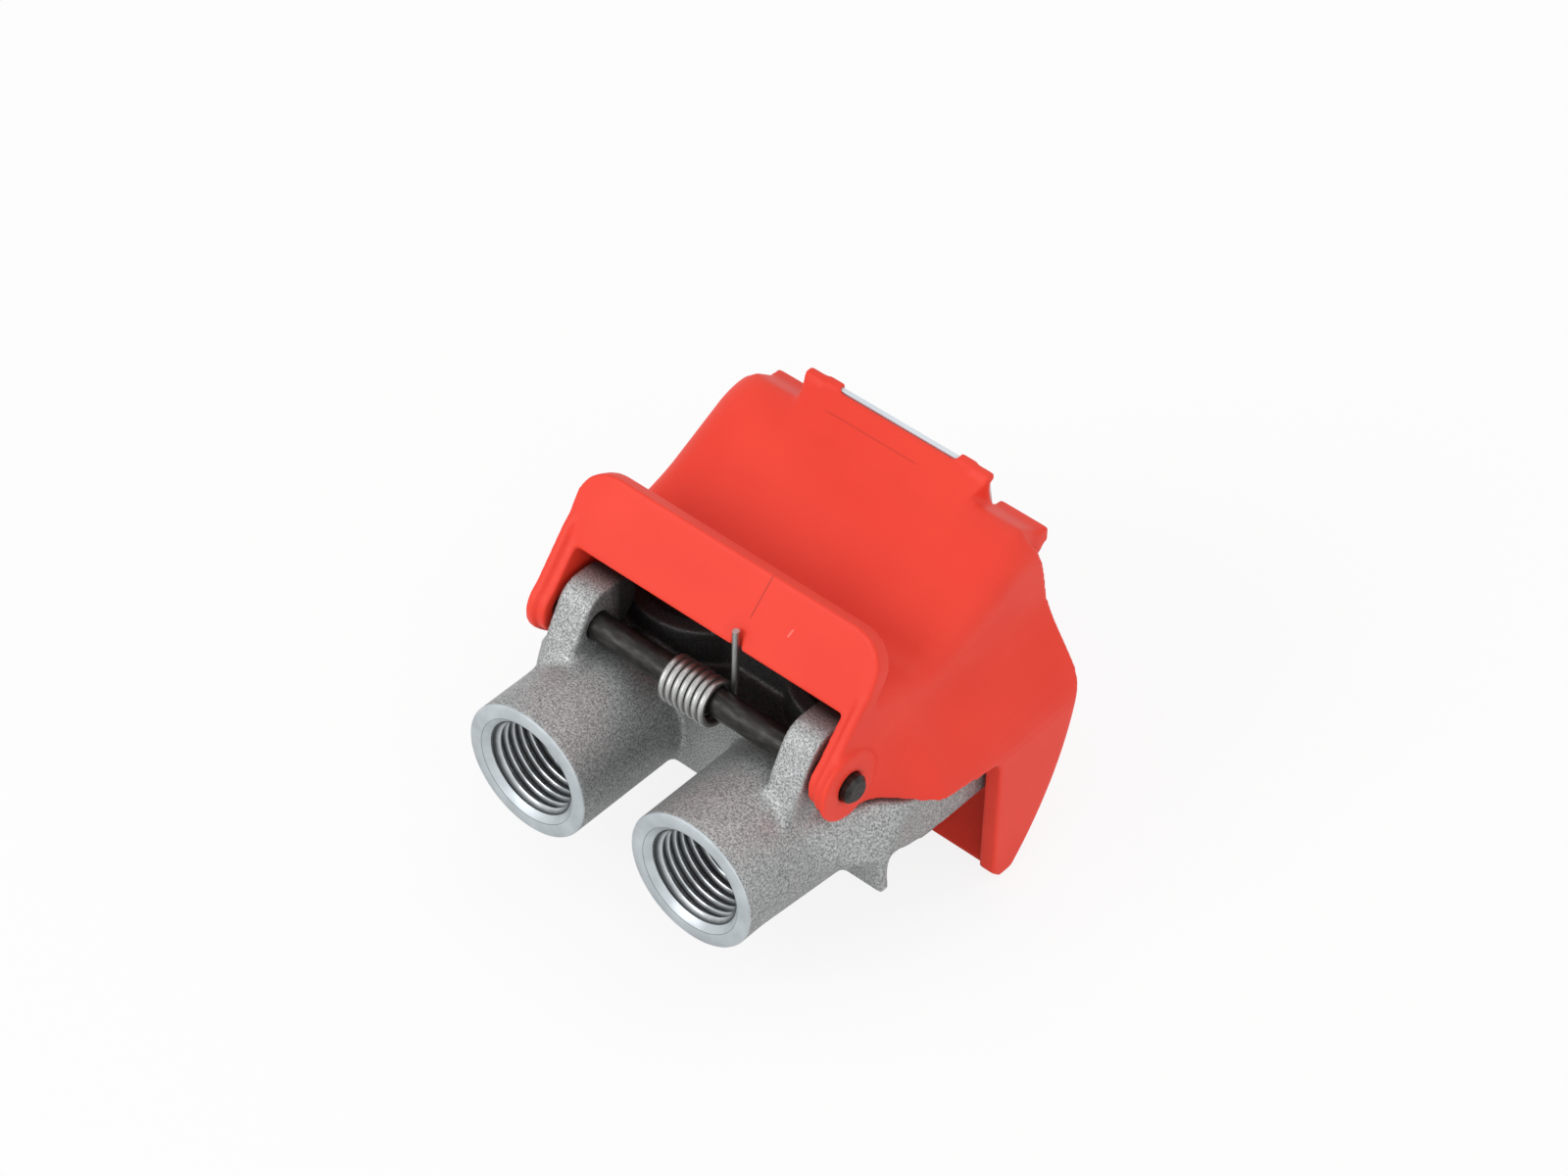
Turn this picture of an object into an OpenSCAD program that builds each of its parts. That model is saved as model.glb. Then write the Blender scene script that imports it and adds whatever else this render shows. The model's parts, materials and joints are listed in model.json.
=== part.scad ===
// Twin-line air brake quick coupling, vehicle half, with a sprung hinged cover.
// X runs along the hinge pin, Y from the port faces to the back and Z up.
// The origin lies midway between the two ports, on the plane of their faces.
// The cover's outline is measured from the pin's axis, as [back, up].

/* [Ports] */
// Distance between the axes of the two ports
port_pitch = 31.7; // [30:0.1:34]
// Outer diameter of each tube socket
tube_d = 22.5; // [21:0.1:24]
// Wall diameter of each threaded port
thread_d = 16; // [13:0.1:17]
// Depth of each threaded port
thread_len = 14; // [10:0.5:17]
// Diameter of the chamfer at the mouth of a port
mouth_d = 18; // [17.2:0.1:19]
// Diameter of the air passage behind the thread
air_d = 9; // [6:0.1:10]
// Width of the broken edge round a tube's end
tube_edge = 0.5; // [0.2:0.1:1]

/* [Hinge] */
// Distance of the pin's axis behind the port faces
pin_y = 18.4; // [16:0.1:22]
// Height of the pin's axis above the ports
pin_z = 14.4; // [14.2:0.1:18]
// Diameter of the hinge pin
pin_d = 4.5; // [4:0.1:4.8]
// Length of pin that stands out of the boss
pin_proud = 1.4; // [0.5:0.1:3]
// Length of pin that stands out of the left cheek
pin_left = 0.6; // [0.2:0.1:2]
// Chamfer at the ends of the pin
pin_edge = 0.6; // [0.2:0.1:1]
// Thickness of each ear
ear_t = 4.4; // [3:0.1:5]
// Distance of each ear's middle outside its port's axis
ear_offset = 6.3; // [5:0.1:7.5]
// Radius of the ear's round top
ear_r = 4.4; // [4.2:0.1:5]
// Backward lean of the ear's front edge
ear_lean = 28; // [20:1:34]
// Where the ear's foot begins on the tube
ear_front = 10.5; // [8:0.5:12]
// Radial clearance of the pin in the ears
ear_fit = 0.02; // [0.01:0.01:0.05]
// Radial clearance of the cover on the pin
hinge_fit = 0.06; // [0.03:0.01:0.1]

/* [Body head] */
// Width of the head
head_w = 65; // [60:0.5:70]
// Underside of the head, below the ports' axes
head_under = 4; // [2:0.5:7]
// Height of the head's shelf above the ports' axes
head_shelf = 6; // [5:0.1:6.4]
// Corner radius of the head in plan
head_corner = 9; // [5:0.5:12]
// Distance of the front flange behind the port faces
flange_y = 21; // [19:0.1:21.4]
// Width of the front flange
flange_w = 67; // [60:0.5:70]
// Thickness of the front flange
flange_t = 2; // [1.5:0.1:3]
// Drop of the flange below the ports' axes
flange_drop = 6.8; // [5:0.1:8]
// Height of the flange between the tubes
flange_top = 9.6; // [8:0.1:9.9]
// Radius of the flange's lower corners
flange_corner = 3; // [1:0.5:5]
// Height of the flange's outer ends
flange_side = 6.3; // [5:0.1:6.4]

/* [Valve units] */
// Distance of the valves behind the hinge pin
valve_back = 20.6; // [19:0.1:22]
// Height of the mating face above the ports' axes
mating_z = 12; // [11.6:0.1:12.6]
// Outer diameter of each valve housing
housing_d = 25; // [24.5:0.1:27]
// Diameter of the bore for the seat bush
bush_d = 19; // [18.6:0.1:20]
// Length of the seat bush
bush_len = 5.6; // [5.2:0.1:6]
// Air hole through the seat bush
bush_hole_d = 10; // [9:0.1:10.5]
// Diameter of the valve chamber
chamber_d = 17.2; // [16.8:0.1:17.8]
// Floor of the valve chamber, below the ports' axes
chamber_floor = 8; // [7.5:0.1:8.6]
// Thickness of the chamber's floor
floor_t = 3.2; // [2.5:0.1:4]
// Travel of a valve plunger
valve_travel = 3; // [2:0.1:3.4]
// Diameter of the plunger's plate
plate_d = 14.6; // [14:0.1:15]
// Thickness of the plunger's plate
plate_t = 1.8; // [1.4:0.1:2.2]
// Diameter of the plunger's stem
stem_d = 4.6; // [4:0.1:5]
// Diameter of the rubber washer on the plunger
washer_d = 13.8; // [13:0.1:14.4]
// Thickness of the rubber washer
washer_t = 2; // [1.6:0.1:2.4]
// Outer diameter of the face seal
face_seal_d = 14.2; // [13.8:0.1:14.8]
// Height of the face seal above the mating face
face_seal_proud = 1.2; // [0.6:0.1:2]
// Section of the O-ring round the bush
bush_seal_t = 1.8; // [1.6:0.1:2]
// Thickness of the retaining ring
retainer_t = 1; // [0.8:0.1:1.2]
// Wire of the valve spring
valve_wire = 0.9; // [0.7:0.1:1.1]
// Turns of the valve spring
valve_turns = 4; // [3:1:5]

/* [Cover] */
// Wall of the cover
wall = 2.8; // [2:0.1:3.2]
// Thickness of each cheek
cheek_t = 3.2; // [2.6:0.1:4]
// Gap between an ear and its cheek
cheek_gap = 0.9; // [0.4:0.1:1.5]
// Diameter of the boss round the pin's right end
boss_d = 11.6; // [9:0.1:12]
// Height of the boss
boss_h = 0.9; // [0.4:0.1:2]
// Radius of the far wall's curve
far_r = 50; // [48:0.1:52]
// Distance of the far wall behind the pin
reach = 44.6; // [43:0.1:46]
// Distance of that curve's centre below the pin
far_down = 1; // [0:0.1:3]
// Gap between the head's sides and the skirt
skirt_gap = 0.7; // [0.4:0.1:1.5]
// Half width of the hood at its shoulders
hood_half = 28.2; // [26:0.1:30]
// Rounding of the hood's shoulders
shoulder_r = 5.5; // [4:0.1:7]
// Rounding between the skirt and the far wall
corner_r = 1.6; // [1:0.1:5]
// Height of the lip along its face
lip_h = 13; // [10:0.5:18]
// Lean of the lip, from upright
lip_lean = 28.5; // [20:0.5:35]
// Thickness of the lip
lip_t = 3; // [2.5:0.1:4]
// Rounding of the lip's upper corners
lip_corner = 5.7; // [3:0.1:8]
// Slope of the hood's front face
hood_slope = 27.5; // [25:0.5:30]
// Front edge of the feet, behind the pin
foot_front = 25.7; // [23:0.1:26.5]
// Drop of the feet below the pin
foot_drop = 35; // [30:0.1:36]
// Side edge of the cover, below the pin, at the feet
side_drop = 10.3; // [8:0.1:11]

/* [Torsion spring] */
// Wire of the torsion spring
spring_wire = 1.05; // [0.8:0.05:1.1]
// Mean radius of the coil
coil_r = 3.2; // [3.2:0.1:3.6]
// Turns of the coil
coil_turns = 7; // [5:1:8]
// Left end of the coil
coil_start = -3.8; // [-5:0.1:-3.6]
// Length of the coil
coil_len = 8.7; // [8.4:0.1:8.9]
// Place of the upper leg along the pin
leg_x = 5.4; // [5.3:0.1:7]
// Distance of the upper leg behind the pin's axis
leg_back = 2.6; // [2.4:0.1:2.8]
// Height of the upper leg above the pin
leg_up = 12.7; // [12:0.1:16]
// Length of the lower leg below the pin
leg_down = 7.4; // [7:0.1:16]

/* [Label plate] */
// Width of the pad for the label plate
pad_w = 34.6; // [28:0.1:38]
// Height of the pad along the back
pad_h = 21; // [16:0.5:24]
// Height of the pad above the pin's axis
pad_top = 21.6; // [20:0.1:23]
// Thickness of the label plate
plate_thick = 0.7; // [0.4:0.1:1]
// Rim of the pad left free above and below the plate
plate_rim = 0.3; // [0.2:0.05:0.4]
// Rim of the pad left free beside the plate
plate_side = 0.9; // [0.8:0.1:2]
// Half width of the rim across the back of the hood
rim_half = 25.6; // [22:0.1:27]
// Thickness of the rim
rim_t = 2.2; // [1.5:0.1:3]
// Distance of the clips from the middle
clip_x = 12.4; // [9:0.1:14]
// Width of each clip
clip_w = 3; // [2:0.1:4]

/* [Hidden] */
$fn = 64;

// Overlap that makes cuts and unions clean
eps = 0.05;
// Gap between pieces that rest on or pass each other
seat_gap = 0.3;
// Gap between the head's back and the swinging far wall
swing_gap = 1.2;
// Middle of an ear's round top, behind and above the pin
ear_shift = [1.4, 1.6];
// Length of the ear's top behind that
ear_long = 2.2;
// Angle round the pin at which the loose coil hangs, from straight back
coil_lean = 230;
// Wall of a face seal
seal_wall = 2.4;
// Wall of the ducts behind the flange
duct_wall = 3.6;
// Gap below the cover's side edges
edge_gap = 0.4;
// Side edge of the cover, from the pin: [back, up] at its front and at its knee
edge_start = [3.5, -7];
edge_knee = [12.2, -8.6];
// Stretches behind the pin in which the skirt and the shoulders spread from the cheeks
skirt_spread = [4.5, 14.5];
shoulder_spread = [9, 21];
// Rounding of the shoulders at the front, and the stretch in which it grows to its full size
front_shoulder = 3;
shoulder_grow = [14, 26];
// Crest of the roof behind the pin, its rounding and that of the valley
crest_back = 42.8;
crest_r = 9;
valley_r = 5;
// Half width of the pad where it leaves the slope
pad_root = 11;
// Reach of a clip over the label plate
clip_reach = 0.8;
// Depth of a clip's root in the pad
clip_root = 1.8;
// Steps along the hood, up its flare and round its shoulders
hood_steps = 34;
flare_steps = 10;
shoulder_steps = 6;

port_x = port_pitch / 2;
tube_r = tube_d / 2;
pin_r = pin_d / 2;
head_half = head_w / 2;
flange_half = flange_w / 2;

ear_in = port_x + ear_offset - ear_t / 2;
ear_out = ear_in + ear_t;
cheek_in = ear_out + cheek_gap;
cheek_out = cheek_in + cheek_t;
boss_x = cheek_out + boss_h;
pin_end = boss_x + pin_proud;
pin_start = -cheek_out - pin_left;

skirt_in = head_half + skirt_gap;
skirt_out = skirt_in + wall;
far_back = reach - far_r;
inner_reach = reach - wall;
wire_r = spring_wire / 2;
head_reach = inner_reach - swing_gap;

valve_y = pin_y + valve_back;
bush_bottom = mating_z - retainer_t - 0.4 - bush_len;
seal_seat_z = bush_bottom + 3.4;
air_z = bush_bottom - air_d / 2 - 0.1;

// Points of the arc that rounds corner b, between a and c, with radius r
function corner(a, b, c, r, n = 6) = r == 0 ? [b] :
    let (u = (a - b) / norm(a - b), v = (c - b) / norm(c - b))
    let (half = acos(u * v) / 2, cut = r / tan(half))
    let (mid = b + (u + v) / norm(u + v) * r / sin(half))
    let (from = b + u * cut - mid, to = b + v * cut - mid)
    let (start = atan2(from[1], from[0]), turn = atan2(to[1], to[0]) - start)
    let (sweep = turn > 180 ? turn - 360 : turn < -180 ? turn + 360 : turn)
    [for (i = [0:n]) mid + r * [cos(start + sweep * i / n), sin(start + sweep * i / n)]];

function xy(p) = [p[0], p[1]];

// Closed outline from corners given as [x, y, radius]
function rounded(pts) = [for (i = [0:len(pts) - 1])
    each corner(xy(pts[(i + len(pts) - 1) % len(pts)]), xy(pts[i]), xy(pts[(i + 1) % len(pts)]), pts[i][2])];

// Open path from corners given as [x, y, radius], which keeps its two ends
function rounded_path(pts) = concat([xy(pts[0])],
    [for (i = [1:len(pts) - 2]) each corner(xy(pts[i - 1]), xy(pts[i]), xy(pts[i + 1]), pts[i][2])],
    [xy(pts[len(pts) - 1])]);

// Smooth step from 0 to 1 between a and b
function ease(t, a, b) = let (s = min(1, max(0, (t - a) / (b - a)))) s * s * (3 - 2 * s);

function reversed(list) = [for (i = [len(list) - 1:-1:0]) list[i]];

// Mean of a ring's points
function middle(ring) = [for (s = ring) 1] * ring / len(ring);

// Solid through equal rings of points, with flat ends
module loft(rings) {
    n = len(rings[0]);
    last = (len(rings) - 1) * n;
    sides = [for (k = [0:len(rings) - 2], i = [0:n - 1]) each
        let (a = k * n + i, b = k * n + (i + 1) % n) [[a, a + n, b + n], [a, b + n, b]]];
    first_mid = last + n;
    ends = [for (i = [0:n - 1]) each
        let (next = (i + 1) % n) [[first_mid, i, next], [first_mid + 1, last + next, last + i]]];
    mids = [middle(rings[0]), middle(rings[len(rings) - 1])];
    polyhedron(concat([for (ring = rings) each ring], mids), concat(sides, ends));
}

// Round wire of radius r along a path
module wire(path, r, sides = 8) {
    last = len(path) - 1;
    loft([for (i = [0:last])
        let (ahead = path[min(i + 1, last)] - path[max(i - 1, 0)], t = ahead / norm(ahead))
        let (side = cross(t, [1, 0.02, 0.01]), u = side / norm(side), v = cross(t, u))
        [for (k = [0:sides - 1]) path[i] + r * (cos(360 * k / sides) * u + sin(360 * k / sides) * v)]]);
}

// Outline in the plane of Y and Z, extruded along X
module along_x(from, to) {
    translate([from, 0, 0]) rotate([90, 0, 90]) linear_extrude(to - from) children();
}

// The same on both sides of the middle
module both_sides() {
    children();
    mirror([1, 0, 0]) children();
}

module at_pin() {
    translate([0, pin_y, pin_z]) children();
}

// Round bar along X, about the present origin
module bar_x(from, to, r) {
    translate([from, 0, 0]) rotate([0, 90, 0]) cylinder(r = r, h = to - from);
}

// Body

module tube() {
    translate([port_x, 0, 0]) rotate([-90, 0, 0]) {
        cylinder(r1 = tube_r - tube_edge, r2 = tube_r, h = tube_edge);
        translate([0, 0, tube_edge]) cylinder(r = tube_r, h = flange_y + flange_t - tube_edge);
    }
}

// Ear outline: a leaning finger with a round top, on a foot that spreads over the tube
module ear_outline() {
    foot = tube_r / 2;
    rear = flange_y + flange_t;
    top = [pin_y, pin_z] + ear_shift;
    front = top + ear_r * [-cos(ear_lean), sin(ear_lean)];
    heel = front - (front[1] - tube_r + 3) * [tan(ear_lean), 1];
    translate(top) circle(r = ear_r);
    translate(top + [ear_long, 0]) circle(r = ear_r);
    translate(top) square([ear_long, ear_r]);
    polygon(concat([[ear_front - 2, foot]], corner([ear_front - 2, foot], heel, front, 3),
        [front, top + [ear_long + ear_r, 0], [rear, pin_z - ear_r], [rear, foot]]));
}

module flange() {
    translate([0, flange_y + flange_t, 0]) rotate([90, 0, 0]) linear_extrude(flange_t)
        polygon(rounded([[-flange_half, -flange_drop, flange_corner],
            [flange_half, -flange_drop, flange_corner],
            [flange_half, flange_side, 1.5], [ear_out, flange_side + 0.5, 0], [port_x - 3, flange_top, 1],
            [3 - port_x, flange_top, 1], [-ear_out, flange_side + 0.5, 0],
            [-flange_half, flange_side, 1.5]]));
}

// Side view of the shelf, from the pin: its top follows the cover's side edge and then rises inside the skirt
module head_side() {
    front = flange_y + flange_t / 2 - pin_y;
    behind = skirt_spread[1] + 1.5;
    along_x(-head_half, head_half) polygon([[front, -head_under - pin_z], [front, edge_start[1] - edge_gap],
        edge_knee - [0, edge_gap], [skirt_spread[1], edge_knee[1] - 2 * edge_gap],
        [behind, head_shelf - pin_z], [head_reach, head_shelf - pin_z], [head_reach, -head_under - pin_z]]);
}

// Plan of the shelf between two heights, its front corners rounded by r
module head_plan(r, from, to) {
    front = flange_y + flange_t / 2;
    translate([0, 0, from]) linear_extrude(to - from) polygon(rounded([[-head_half, front, r],
        [head_half, front, r], [head_half, pin_y + head_reach, 1], [-head_half, pin_y + head_reach, 1]]));
}

// Shelf that carries the valve housings, its back kept clear of the far wall's swing
module head() {
    intersection() {
        union() {
            head_plan(head_corner, -head_under, 0);
            head_plan(1, -eps, mating_z);
        }
        at_pin() head_side();
        at_pin() bar_x(-head_half, head_half, head_reach);
    }
}

module housing() {
    translate([port_x, valve_y, -chamber_floor - floor_t])
        cylinder(d = housing_d, h = mating_z + chamber_floor + floor_t);
    translate([port_x, flange_y, air_z]) rotate([-90, 0, 0])
        cylinder(r = air_d / 2 + duct_wall, h = valve_y - flange_y);
}

// Bridge between the housings, which ties them at the height of the mating face
module bridge() {
    translate([-port_x, valve_y - housing_d / 4, -head_under])
        cube([port_pitch, housing_d / 2, mating_z + head_under]);
}

module port_cut() {
    translate([port_x, 0, 0]) rotate([-90, 0, 0]) {
        translate([0, 0, -eps]) cylinder(d = thread_d, h = thread_len + eps);
        translate([0, 0, -eps])
            cylinder(d1 = mouth_d + 2 * eps, d2 = thread_d, h = (mouth_d - thread_d) / 2 + eps);
        translate([0, 0, thread_len - eps])
            cylinder(d1 = thread_d, d2 = air_d, h = (thread_d - air_d) / 4 + eps);
    }
    translate([port_x, thread_len, air_z]) rotate([-90, 0, 0]) cylinder(d = air_d, h = valve_y - thread_len);
}

module valve_cut() {
    groove_z = mating_z - retainer_t - 0.4;
    translate([port_x, valve_y, -chamber_floor]) cylinder(d = chamber_d, h = mating_z + chamber_floor);
    translate([port_x, valve_y, bush_bottom]) cylinder(d = bush_d, h = mating_z - bush_bottom + eps);
    translate([port_x, valve_y, groove_z]) cylinder(d = bush_d + 1.4, h = retainer_t + 0.1);
}

module body() {
    color("#9a9b9a") difference() {
        union() {
            both_sides() tube();
            both_sides() along_x(ear_in, ear_out) ear_outline();
            flange();
            head();
            both_sides() housing();
            bridge();
        }
        both_sides() port_cut();
        both_sides() valve_cut();
        at_pin() bar_x(-ear_out - 1, ear_out + 1, pin_r + ear_fit);
    }
}

// Hinge pin

module hinge_pin() {
    color("#2d2c2a") at_pin() {
        bar_x(pin_start + pin_edge, pin_end - pin_edge, pin_r);
        translate([pin_end - pin_edge, 0, 0]) rotate([0, 90, 0])
            cylinder(r1 = pin_r, r2 = pin_r - pin_edge, h = pin_edge);
        translate([pin_start, 0, 0]) rotate([0, 90, 0])
            cylinder(r1 = pin_r - pin_edge, r2 = pin_r, h = pin_edge);
    }
}

// Cover, all measured from the pin's axis

lip_foot = [2.1, 9.2];
lip_up = [sin(lip_lean), cos(lip_lean)];
lip_out = [-cos(lip_lean), sin(lip_lean)];
lip_top = lip_foot + lip_h * lip_up;
deck_front = lip_foot + [3.5, 2.6];
valley = [17.2, 7.9];
crest = [crest_back, valley[1] + (crest_back - valley[0]) * tan(hood_slope)];
roof_end = [reach + 4, crest[1] - 8];
pad_edge = [valley[0] + (pad_top - valley[1]) / tan(hood_slope), pad_top];
pad_face = 10;
pad_down = [sin(pad_face), -cos(pad_face)];
pad_normal = [cos(pad_face), sin(pad_face)];
flare_top = 6.2;
flare_bottom = -10.5;
cover_floor = -foot_drop - 4;

// Height of the roof at a distance p behind the pin
roof_line = rounded_path([[deck_front[0] - 20, deck_front[1], 0], [deck_front[0], deck_front[1], 2],
    [valley[0], valley[1], valley_r], [crest[0], crest[1], crest_r], [roof_end[0], roof_end[1], 0]]);

// One ring of the hood: skirt, flare, side, shoulder and roof, on both sides.
// The inset moves the whole ring inwards by a wall.
function hood_ring(p, inset, side_inset) =
    let (cheek = cheek_out - side_inset)
    let (low = cheek + (skirt_out - inset - cheek) * ease(p, skirt_spread[0], skirt_spread[1]))
    let (top = cheek + (hood_half - inset - cheek) * ease(p, shoulder_spread[0], shoulder_spread[1]))
    let (roof = lookup(p, roof_line) - inset * 1.1)
    let (grown = ease(p, shoulder_grow[0], shoulder_grow[1]))
    let (r = max(0.8, front_shoulder + (shoulder_r - front_shoulder) * grown - inset))
    let (flare_from = min(flare_top, roof - r - 0.4))
    let (n = flare_steps, m = shoulder_steps)
    let (right = concat([[low, cover_floor]],
        [for (i = [0:n])
            [low + (top - low) * ease(i, 0, n), flare_bottom + (flare_from - flare_bottom) * i / n]],
        [for (i = [0:m]) [top - r + r * cos(90 * i / m), roof - r + r * sin(90 * i / m)]]))
    [for (q = concat(right, reversed([for (s = right) [-s[0], s[1]]]))) [q[0], p, q[1]]];

module hood(from, to, inset, side_inset) {
    loft([for (i = [0:hood_steps])
        reversed(hood_ring(from + (to - from) * i / hood_steps, inset, side_inset))]);
}

// Everything within the far wall's curve, with rounded rims
module swing_drum(r, half, edge) {
    translate([0, far_back, -far_down]) rotate([0, 90, 0]) rotate_extrude($fn = 128)
        polygon(concat([[0, -half]], corner([0, -half], [r, -half], [r, half], edge),
            corner([r, -half], [r, half], [0, half], edge), [[0, half]]));
}

// Side view of the cover: what is left of the skirt above its lower edges
module skirt_outline() {
    polygon(rounded([[edge_start[0], edge_start[1], 0], [edge_knee[0], edge_knee[1], 6],
        [foot_front, -side_drop, 1.5],
        [foot_front, 1.6 - foot_drop, 0.5], [foot_front + 1.6, -foot_drop, 0.5], [reach + 6, -foot_drop, 0],
        [reach + 6, pad_top + 10, 0], [edge_start[0], pad_top + 10, 0]]));
}

// Side view of a cheek: from the lip down and round the pin
module cheek_outline(front, eye) {
    knee = lip_foot + 2.5 * lip_up + front * lip_out;
    start = lip_foot + lip_h / 2 * lip_up - 0.5 * lip_out;
    polygon(rounded([[start[0], start[1], 0], [knee[0], knee[1], 2],
        [-eye * cos(20), eye * sin(20), 0], [-eye * cos(42), -eye * sin(42), 0],
        [-0.3 * eye, -1.08 * eye, 1.5], [edge_start[0], edge_start[1], 0], [6.5, -7.6, 0], [6.5, 6, 0],
        [deck_front[0], deck_front[1] - 0.5, 0]]));
    circle(r = eye);
}

module cheek() {
    middle = cheek_in + cheek_t / 2;
    along_x(cheek_in, middle + eps) cheek_outline(-0.2, 4.6);
    along_x(middle, cheek_out) cheek_outline(0.6, 5.2);
}

module lip() {
    half = cheek_out - eps;
    translate([0, lip_foot[0], lip_foot[1]]) rotate([90 - lip_lean, 0, 0]) translate([0, 0, -lip_t])
        linear_extrude(lip_t) polygon(rounded([[-half, 0.5, 0], [half, 0.5, 0],
            [half, lip_h, lip_corner], [-half, lip_h, lip_corner]]));
}

// Pad for the label plate: the hood's front face carried on to a straight edge, narrower down the slope
module pad() {
    low = pad_edge + pad_h * pad_down;
    root = valley + 10 * [1, tan(hood_slope)] - [0, 0.3];
    half = pad_w / 2;
    intersection() {
        along_x(-half, half) polygon(rounded([[root[0], root[1], 0],
            [pad_edge[0], pad_edge[1], 0.4], [low[0], low[1], 0.6], [inner_reach + 0.6, low[1] - 1.5, 0],
            [inner_reach - 1, low[1] + 4, 0]]));
        translate([0, 0, -foot_drop]) linear_extrude(2 * foot_drop) polygon([[-pad_root, root[0] - 1],
            [pad_root, root[0] - 1], [half, pad_edge[0] - 0.5], [half, reach + 9], [-half, reach + 9],
            [-half, pad_edge[0] - 0.5]]);
    }
}

// Rim that the far wall raises behind the roof, to either side of the pad
module back_rim() {
    front = [reach + 0.3, 15.5];
    both_sides() along_x(pad_w / 2 - plate_side + 0.4, rim_half) polygon(rounded([[inner_reach - 0.5, 6, 0],
        [front[0], front[1], 0.3], [front[0] + rim_t, front[1] - 0.6, 0.5],
        [front[0] + rim_t, 12.6, 0.6], [reach - 2, 9, 0]]));
}

// Clip that holds the label plate at an edge of the pad, towards side 1 (down) or -1 (up)
module clip(at, side) {
    away = side * pad_down;
    inner = at - (plate_rim - 0.15) * away;
    outer = at + 0.2 * away;
    hook = at - (plate_rim + clip_reach) * away;
    root = at - clip_root * away;
    under = (plate_thick + 0.15) * pad_normal;
    tip = under + 0.4 * pad_normal;
    into = eps * pad_normal;
    both_sides() along_x(clip_x - clip_w / 2, clip_x + clip_w / 2)
        polygon([root - clip_root / 2 * pad_normal, outer - 2 * into, outer + tip, hook + tip, hook + under,
            inner + under, inner - into, root - into]);
}

// Notch in the lip's lower edge for the spring's leg
module spring_notch() {
    half = wire_r + seat_gap;
    translate([leg_x - half, -lip_h, 0]) cube([2 * half, lip_h + leg_back + half, lip_foot[1] + lip_h / 2]);
}

module cover() {
    color("#e8432f") at_pin() difference() {
        union() {
            intersection() {
                hood(deck_front[0] - 2, reach + 3, 0, 0);
                swing_drum(far_r, skirt_out, corner_r);
                along_x(-skirt_out - 1, skirt_out + 1) skirt_outline();
            }
            both_sides() cheek();
            bar_x(cheek_out - eps, boss_x, boss_d / 2);
            lip();
            pad();
            back_rim();
            clip(pad_edge, -1);
            clip(pad_edge + pad_h * pad_down, 1);
        }
        intersection() {
            hood(-14, reach + 2, wall, cheek_t);
            swing_drum(far_r - wall, skirt_in, corner_r / 2);
        }
        bar_x(-boss_x - 1, boss_x + 1, pin_r + hinge_fit);
        spring_notch();
    }
}

// Torsion spring

// Coil hanging on the pin: the lower leg bears on the flange, the upper leg stands in the lip's notch
module torsion_spring() {
    steps = 18;
    pitch = coil_len / coil_turns;
    flange_front = flange_y - pin_y - wire_r - seat_gap;
    clear_z = flange_top + 1 - pin_z;
    sag = 0.9 * (coil_r - wire_r - pin_r) * [cos(coil_lean), sin(coil_lean)];
    coil = [for (i = [0:coil_turns * steps])
        concat(coil_start + pitch * i / steps, sag + coil_r * [cos(360 * i / steps), sin(360 * i / steps)])];
    lower_leg = [[coil_start, flange_front, -leg_down], [coil_start, flange_front, clear_z]];
    run_out = [for (i = [1:4]) concat(coil_start + coil_len + (leg_x - coil_start - coil_len) * i / 5,
        sag + coil_r * [cos(8 * i), sin(8 * i)])];
    upper_leg = [[leg_x, leg_back, coil_r], [leg_x, leg_back, leg_up]];
    color("#b9bcbc") at_pin() wire(concat(lower_leg, coil, run_out, upper_leg), wire_r);
}

// Label plate, blank, lying on the pad

module label_plate() {
    at = pad_edge + plate_rim * pad_down + 0.05 * pad_normal;
    end = pad_edge + (pad_h - plate_rim) * pad_down + 0.05 * pad_normal;
    color("#e4e8ea") at_pin() along_x(plate_side - pad_w / 2, pad_w / 2 - plate_side)
        polygon([at, end, end + plate_thick * pad_normal, at + plate_thick * pad_normal]);
}

// Valve units, each turned about its own upright axis

module at_valve(side) {
    translate([side * port_x, valve_y, 0]) children();
}

module ring(inner_d, outer_d, from, to) {
    rotate_extrude() translate([inner_d / 2, from]) square([(outer_d - inner_d) / 2, to - from]);
}

module seat_bush(side) {
    top = bush_bottom + bush_len;
    outer = bush_d / 2 - 0.03;
    hole = bush_hole_d / 2;
    groove = outer - bush_seal_t - 0.05;
    groove_z = bush_bottom + 1.2;
    groove_h = bush_seal_t + 0.4;
    pocket = face_seal_d / 2 + 0.05;
    color("#c2a15a") at_valve(side) rotate_extrude() polygon([[hole, bush_bottom], [hole + 0.9, bush_bottom],
        [hole + 1.3, bush_bottom + 0.6], [outer, bush_bottom + 0.6], [outer, groove_z], [groove, groove_z],
        [groove, groove_z + groove_h], [outer, groove_z + groove_h], [outer, top], [pocket, top],
        [pocket, seal_seat_z], [hole, seal_seat_z]]);
}

module bush_seal(side) {
    centre_r = bush_d / 2 - bush_seal_t / 2 - 0.04;
    color("#222222") at_valve(side) rotate_extrude()
        translate([centre_r, bush_bottom + 1.4 + bush_seal_t / 2]) circle(d = bush_seal_t, $fn = 24);
}

// Sprung ring with its gap, in the groove above the bush
module retaining_ring(side) {
    from = mating_z - retainer_t - 0.35;
    color("#6d6f70") at_valve(side) difference() {
        ring(bush_d - 2.2, bush_d + 1.2, from, from + retainer_t);
        translate([-2, 0, from - eps]) cube([4, bush_d, retainer_t + 2 * eps]);
    }
}

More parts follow.
